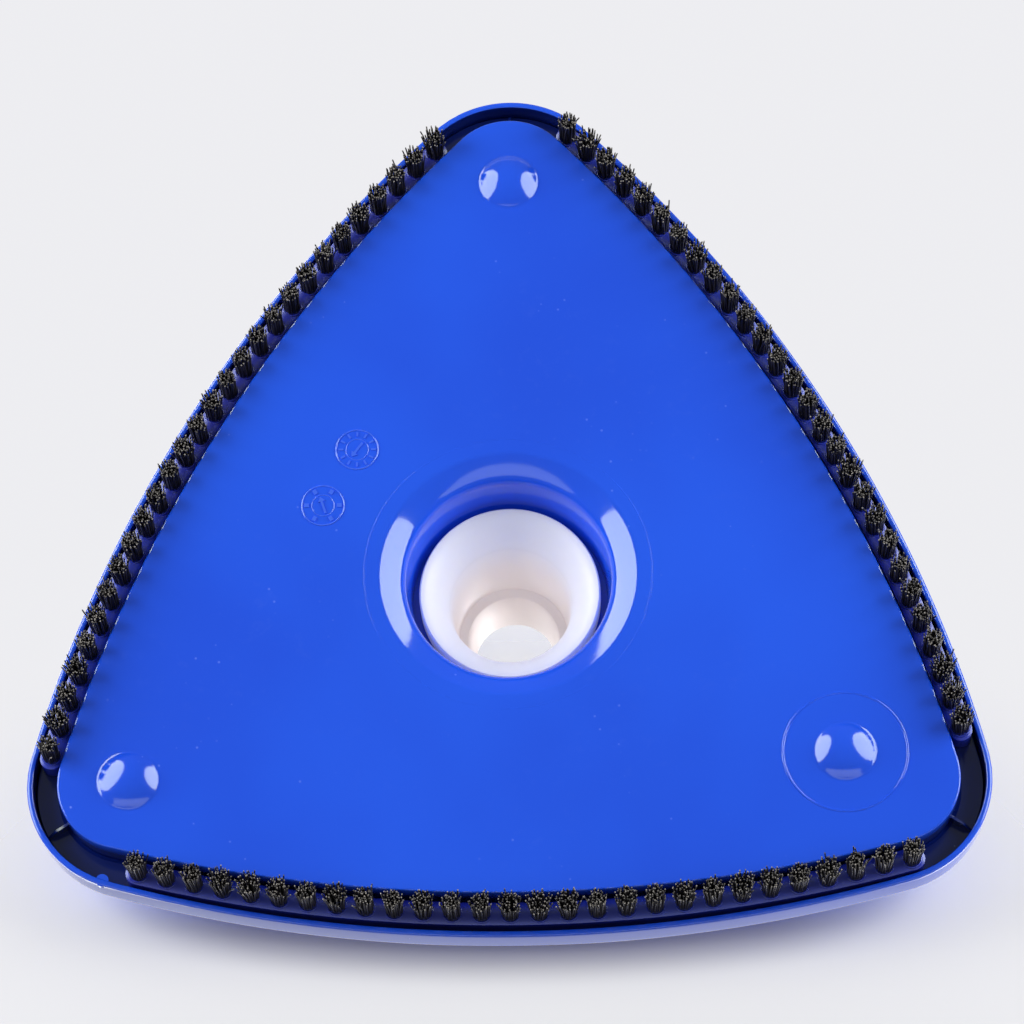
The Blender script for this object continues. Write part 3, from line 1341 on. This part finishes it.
def side_drills(radius, start, end, y, steps):
    """Two closed cylinders that run out along X on either side, to cut holes with."""
    profile = [(0.0, start), (radius, start), (radius, end), (0.0, end)]
    return [moved(turned(profile, steps), at(0, y, PIVOT.z) @ along_x(side)) for side in (1, -1)]


class HEAD_OT_handle(bpy.types.Operator):
    """Build the forked handle with its eyes and hollow stem"""
    bl_idname = "vacuum_head.handle"
    bl_label = "Handle"

    def execute(self, context):
        handle = context.scene.handle_sizes
        stem = make_piece("stem", [stem_part()], satin_white(), smooth=35.0)
        button = middle_of("right_clip_button") - AXIS
        cut(stem, side_drills(3.5 * MM, 8 * MM, 17 * MM, button.y, 40))
        fork = make_piece("fork", [fork_part()], satin_white(), smooth=50.0)
        cut(fork, side_drills(3.9 * MM, handle.arm_inner - MM, handle.arm_outer + MM, 0, 48))
        eyes = make_piece("eyes", [eye_part(1), eye_part(-1)], satin_white())
        webs = make_piece("webs", [gusset_part(1), gusset_part(-1)], satin_white(), smooth=50.0)
        yoke = joined("forked_handle", [fork, stem, eyes, webs])
        settle(yoke, "handle", "handle_yoke")
        return {"FINISHED"}


def spring_part():
    """A leaf spring bent to a V with a round back and flats behind the buttons."""
    low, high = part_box("clip_spring")
    half = (high.z - low.z) / 2
    thickness = 0.9 * MM
    bend = 3.45 * MM
    centre_y = high.y - AXIS.y - bend - thickness / 2
    tip_x, tip_y = 8.2 * MM - thickness / 2, low.y - AXIS.y
    flat = 8.0 * MM
    path = [(tip_x, tip_y), (tip_x, tip_y + flat * 0.5), (tip_x - 0.15 * MM, tip_y + flat)]
    path += [(bend * math.cos(t), centre_y + bend * math.sin(t)) for t in np.linspace(0, math.pi, 19)]
    path += [(-x, y) for x, y in path[2::-1]]
    section = ((-1, -half), (1, -half), (1, half), (-1, half))
    rings = []
    for index, (x, y) in enumerate(path):
        before, after = path[max(index - 1, 0)], path[min(index + 1, len(path) - 1)]
        out = Vector((before[1] - after[1], after[0] - before[0])).normalized() * -thickness / 2
        rings.append([(x + out.x * across, y + out.y * across, PIVOT.z + up) for across, up in section])
    return loft(rings, capped=True)


def button_part(side):
    """A round-nosed clip button."""
    low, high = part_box("right_clip_button")
    radius = (high.z - low.z) / 2
    nose, rise = 2.2 * MM, 1.76 * MM
    profile = [(0.0, low.x), (radius - 0.3 * MM, low.x), (radius, low.x + 0.3 * MM)]
    profile += [(radius - nose + nose * math.cos(t), high.x - rise + rise * math.sin(t))
                for t in np.linspace(0, math.pi / 2, 8)]
    profile.append((0.0, high.x))
    place = middle_of("right_clip_button") - AXIS
    return moved(turned(profile, 48), at(0, place.y, PIVOT.z) @ along_x(side))


def pin_part(side):
    """A pivot pin with a domed head outside and a chamfered end inside."""
    low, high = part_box("right_pivot_pin")
    handle = bpy.context.scene.handle_sizes
    radius, head_radius = handle.pin_radius, (high.z - low.z) / 2
    face = handle.arm_outer + 0.4 * MM
    crown = face + 0.9 * MM
    profile = [(0.0, low.x), (radius - 0.5 * MM, low.x), (radius, low.x + 0.5 * MM), (radius, face)]
    profile += [(head_radius - 0.2 * MM, face), (head_radius, face + 0.3 * MM), (head_radius, crown)]
    profile += [(head_radius * math.cos(t), crown + (high.x - crown) * math.sin(t))
                for t in np.linspace(0, math.pi / 2, 9)[1:-1]]
    profile.append((0.0, high.x))
    return moved(turned(profile, 56), at(0, 0, PIVOT.z) @ along_x(side))


def screw_part(low, high):
    """A pan-head screw between two heights: a point, seven turns of thread and a domed head."""
    shank, root, head_radius, pitch, turns = 1.6 * MM, 1.35 * MM, 4.3 * MM, 1.4 * MM, 7
    seat = high - 3.0 * MM
    profile = [(0.0, low), (shank, low + 1.6 * MM)]
    for turn in range(turns):
        foot = low + 1.8 * MM + pitch * turn
        profile += [(root, foot), (shank, foot + 0.5 * MM), (root, foot + 0.9 * MM)]
    profile += [(shank, seat - 0.6 * MM), (shank, seat), (head_radius - 0.2 * MM, seat),
                (head_radius, seat + 0.2 * MM)]
    profile += [(head_radius * math.cos(t) ** 0.6, seat + 1.0 * MM + 1.98 * MM * math.sin(t))
                for t in np.linspace(0, math.pi / 2, 8)[:-1]]
    profile.append((0.0, high))
    return turned(profile, 40)


class HEAD_OT_clip(bpy.types.Operator):
    """Build the clip spring and the two buttons"""
    bl_idname = "vacuum_head.clip"
    bl_label = "Pole clip"

    def execute(self, context):
        spring = make_piece("leaf_spring", [spring_part()], drawn_steel(), bevel=0.15 * MM)
        settle(spring, "handle", "clip_spring")
        for name, side in (("right", 1), ("left", -1)):
            button = make_piece(f"{name}_lock_button", [button_part(side)], drawn_steel())
            settle(button, f"{name}_button", f"{name}_clip_button")
        return {"FINISHED"}


class HEAD_OT_fasteners(bpy.types.Operator):
    """Build the pivot pins and the cross-recessed shell screws"""
    bl_idname = "vacuum_head.fasteners"
    bl_label = "Pins and screws"

    def execute(self, context):
        for name, side in (("right", 1), ("left", -1)):
            pin = make_piece(f"{name}_rivet_pin", [pin_part(side)], drawn_steel())
            settle(pin, "head", f"{name}_pivot_pin")
        arm, half = 2.3 * MM, 0.45 * MM
        for name, place in dome_places().items():
            low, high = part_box(f"{name}_screw")
            centre = AXIS + Vector((place.x, place.y, 0))
            screw = make_piece(f"{name}_shell_screw", [screw_part(low.z, high.z)], drawn_steel(), centre)
            for x, y in ((arm, half), (half, arm)):
                cut(screw, [box_part((-x, -y, high.z - 1.6 * MM), (x, y, high.z + MM))], centre)
            settle(screw, "head", f"{name}_screw")
        return {"FINISHED"}


class HEAD_OT_inner_parts(bpy.types.Operator):
    """Finish the ballast slugs and the washer, which stay hidden inside"""
    bl_idname = "vacuum_head.inner_parts"
    bl_label = "Ballast and washer"

    def execute(self, context):
        for name in CORNERS:
            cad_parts[f"{name}_ballast"].data.materials[0] = rough_iron()
        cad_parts["swivel_washer"].data.materials[0] = matt_rubber()
        return {"FINISHED"}


# ---------------------------------------------------------------- stage

def paper(name, colour, glow, fade=None):
    """A pale sheet seen from its front only, partly lit by a glow of its own, clear where it fades."""
    recipe = Recipe(name)
    geometry = recipe.node("ShaderNodeNewGeometry")
    hidden = Value(recipe, geometry.outputs["Backfacing"])
    glowing = (0.85, 0.85, 0.88)
    if fade:
        middle, near, far = fade
        place = recipe.node("ShaderNodeTexCoord").outputs["Object"]
        ends = {0: place, 1: middle}
        away = recipe.value("ShaderNodeVectorMath", {"operation": "DISTANCE"}, ends, output=1)
        rise = recipe.value("ShaderNodeSeparateXYZ", {}, {0: geometry.outputs["Incoming"]}, output=2)
        hidden = hidden.math("MAXIMUM", recipe.between(away, near, far))
        hidden = hidden.math("MAXIMUM", recipe.between(rise, -0.35, -0.15))
        shade = near_shade(recipe)
        colour = recipe.blend(shade, colour, (0.25, 0.24, 0.26))
        glowing = recipe.blend(shade, glowing, (0.30, 0.29, 0.33))
    matt = recipe.node("ShaderNodeBsdfPrincipled", {}, {
        "Base Color": colour, "Roughness": 0.9, "Specular IOR Level": 0.0, "Emission Color": glowing,
        "Emission Strength": glow})
    clear = recipe.node("ShaderNodeBsdfTransparent")
    mixed = recipe.node("ShaderNodeMixShader", {}, {0: hidden, 1: matt.outputs[0], 2: clear.outputs[0]})
    recipe.tree.links.new(mixed.outputs[0], recipe.output.inputs["Surface"])
    return recipe.material


def near_shade(recipe):
    """A soft shade on the paper along the rear side's arc, 1 at the skirt and 0 a finger's width away."""
    head = sizes()
    x, y, _ = recipe.coordinates()
    centre = AXIS.y + head.rim_side - head.rim_side_radius
    away = (x * x + (y - centre) * (y - centre)) ** 0.5 - head.rim_side_radius
    band = recipe.between(away, -4 * MM, 17 * MM, 1.0, 0.0) * recipe.between(away, -30 * MM, -12 * MM)
    return band * recipe.between(x * x, 0.005, 0.018, 1.0, 0.0)


def sheet_part(foot, ahead, span):
    """A flat square sheet round a point, along X and a direction."""
    across = Vector((span, 0, 0))
    ahead = Vector(ahead).normalized() * span
    corners = [foot - across - ahead, foot + across - ahead, foot + across + ahead, foot - across + ahead]
    return corners, [(0, 1, 2, 3)]


def paper_piece(name, part, material, facing, shows_in_gloss=True):
    """A flat open piece of the stage that casts no shadow, bounces no light on the head and faces one way."""
    vertices, faces = part
    mesh = bpy.data.meshes.new(name)
    mesh.from_pydata(vertices, [], faces)
    if mesh.polygons[0].normal.dot(Vector(facing)) < 0:
        mesh.flip_normals()
    mesh.materials.append(material)
    sheet = bpy.data.objects.new(name, mesh)
    bpy.context.scene.collection.objects.link(sheet)
    sheet.visible_shadow = False
    sheet.visible_diffuse = False
    sheet.visible_glossy = shows_in_gloss


def soft_light(name, place, width, height, radiance, shape="RECTANGLE", shows_in_gloss=True, shines=True):
    """A soft light of a given brightness that faces the head; it may show in gloss only, or only shine."""
    light = bpy.data.lights.new(name, "AREA")
    light.shape = shape
    light.size = width
    light.size_y = height
    area = width * height * (math.pi / 4 if shape == "ELLIPSE" else 1.0)
    light.energy = radiance * math.pi * area
    lamp = bpy.data.objects.new(name, light)
    lamp.location = place
    lamp.rotation_euler = (Vector((0.0, 0.0, 0.02)) - Vector(place)).to_track_quat("-Z", "Y").to_euler()
    lamp.visible_camera = False
    lamp.visible_glossy = shows_in_gloss
    lamp.visible_diffuse = shines
    bpy.context.scene.collection.objects.link(lamp)


class HEAD_OT_stage(bpy.types.Operator):
    """Set the camera, paper sheets, floor and soft lights"""
    bl_idname = "vacuum_head.stage"
    bl_label = "Stage"

    def execute(self, context):
        stage = context.scene.head_stage
        camera = bpy.data.objects.new("camera", bpy.data.cameras.new("camera"))
        camera.data.lens = stage.lens
        camera.data.clip_end = 50.0
        place, target = Vector(stage.camera), Vector(stage.target)
        ahead = (target - place).normalized()
        side = ahead.cross(Vector((0, -1, 0))).normalized()
        basis = Matrix((side, side.cross(ahead), -ahead)).transposed()
        turned_basis = Matrix.Rotation(-stage.roll, 3, ahead) @ basis
        camera.matrix_world = Matrix.Translation(place) @ turned_basis.to_4x4()
        context.scene.collection.objects.link(camera)
        context.scene.camera = camera
        self.sheets()
        self.lights(context)
        return {"FINISHED"}

    def sheets(self):
        """A floor seen from above and, for the view from below, a far backdrop and a paper by the skirt."""
        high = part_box("top_shell")[1]
        slope = math.radians(33)
        foot = Vector((0.0, high.y - 1.0 * MM, RIM_Z + 11 * MM))
        fade = (tuple(foot + Vector((0, 0.02, -0.013))), 0.10, 0.22)
        near = paper("near_paper", (0.62, 0.62, 0.63), 0.25, fade)
        near_part = sheet_part(foot, (0.0, -math.cos(slope), math.sin(slope)), 0.3)
        paper_piece("near_sheet", near_part, near, (0, 0, -1), shows_in_gloss=False)
        far = paper("far_paper", (0.0, 0.0, 0.0), 1.0)
        paper_piece("far_sheet", sheet_part(Vector((0, 0, 1.2)), (0, 1, 0), 4.0), far, (0, 0, -1))
        ground = paper("floor_paper", (0.62, 0.62, 0.63), 0.15)
        rim, far_ring = [[Vector(point) + AXIS for point in ring]
                         for ring in rings_through([(rim_outline(-30 * MM), 0.0), (4.0, 0.0)])]
        paper_piece("floor", loft([rim, far_ring]), ground, (0, 0, 1))
        paper_piece("floor_patch", (rim, [tuple(range(len(rim)))]), ground, (0, 0, 1), shows_in_gloss=False)

    def lights(self, context):
        """Boxes, fills and panels round the view from below, two boxes from above, and a pale world."""
        soft_light("left_box", (-0.56, -0.26, -0.33), 0.90, 0.72, 9.0, "ELLIPSE", shines=False)
        soft_light("right_box", (0.56, -0.24, -0.33), 0.80, 0.70, 9.0, "ELLIPSE", shines=False)
        soft_light("left_fill", (-0.95, -0.15, -0.50), 0.7, 0.7, 6.5, shows_in_gloss=False)
        soft_light("right_fill", (0.95, -0.15, -0.50), 0.7, 0.7, 5.9, shows_in_gloss=False)
        soft_light("front_panel", (0.0, 0.60, -0.55), 1.4, 0.24, 1.8, shines=False)
        for name, x in (("rear_left_panel", -0.62), ("rear_right_panel", 0.62)):
            soft_light(name, (x, 0.30, 1.1), 0.6, 0.8, 3.0, shines=False)
        soft_light("top_left_box", (-0.9, -0.8, 1.1), 0.9, 0.9, 8.0)
        soft_light("top_right_box", (1.0, 0.5, 1.1), 0.8, 0.8, 7.0)
        world = bpy.data.worlds.new("studio")
        world.use_nodes = True
        background = world.node_tree.nodes["Background"]
        background.inputs["Color"].default_value = (0.95, 0.95, 1.0, 1.0)
        background.inputs["Strength"].default_value = 0.3
        context.scene.world = world
        context.scene.view_settings.view_transform = "Standard"


class HEAD_PT_panel(bpy.types.Panel):
    """Lists the pieces of the vacuum head and its settings"""
    bl_idname = "HEAD_PT_panel"
    bl_label = "Vacuum Head"
    bl_space_type = "VIEW_3D"
    bl_region_type = "UI"
    bl_category = "Vacuum Head"

    def draw(self, context):
        for operator in OPERATORS:
            self.layout.operator(operator.bl_idname)
        for name, group in GROUPS.items():
            column = self.layout.column()
            for key in group.__annotations__:
                column.prop(getattr(context.scene, name), key)


OPERATORS = (
    HEAD_OT_stage,
    HEAD_OT_bottom_plate,
    HEAD_OT_top_shell,
    HEAD_OT_brushes,
    HEAD_OT_nipple,
    HEAD_OT_handle,
    HEAD_OT_clip,
    HEAD_OT_fasteners,
    HEAD_OT_inner_parts,
)


def register():
    for group in (*GROUPS.values(), *OPERATORS, HEAD_PT_panel):
        bpy.utils.register_class(group)
    for name, group in GROUPS.items():
        setattr(bpy.types.Scene, name, PointerProperty(type=group))


def unregister():
    for name in GROUPS:
        delattr(bpy.types.Scene, name)
    for group in reversed((*GROUPS.values(), *OPERATORS, HEAD_PT_panel)):
        bpy.utils.unregister_class(group)


def main():
    register()
    for operator in OPERATORS:
        family, action = operator.bl_idname.split(".")
        getattr(getattr(bpy.ops, family), action)()


if __name__ == "__main__":
    main()
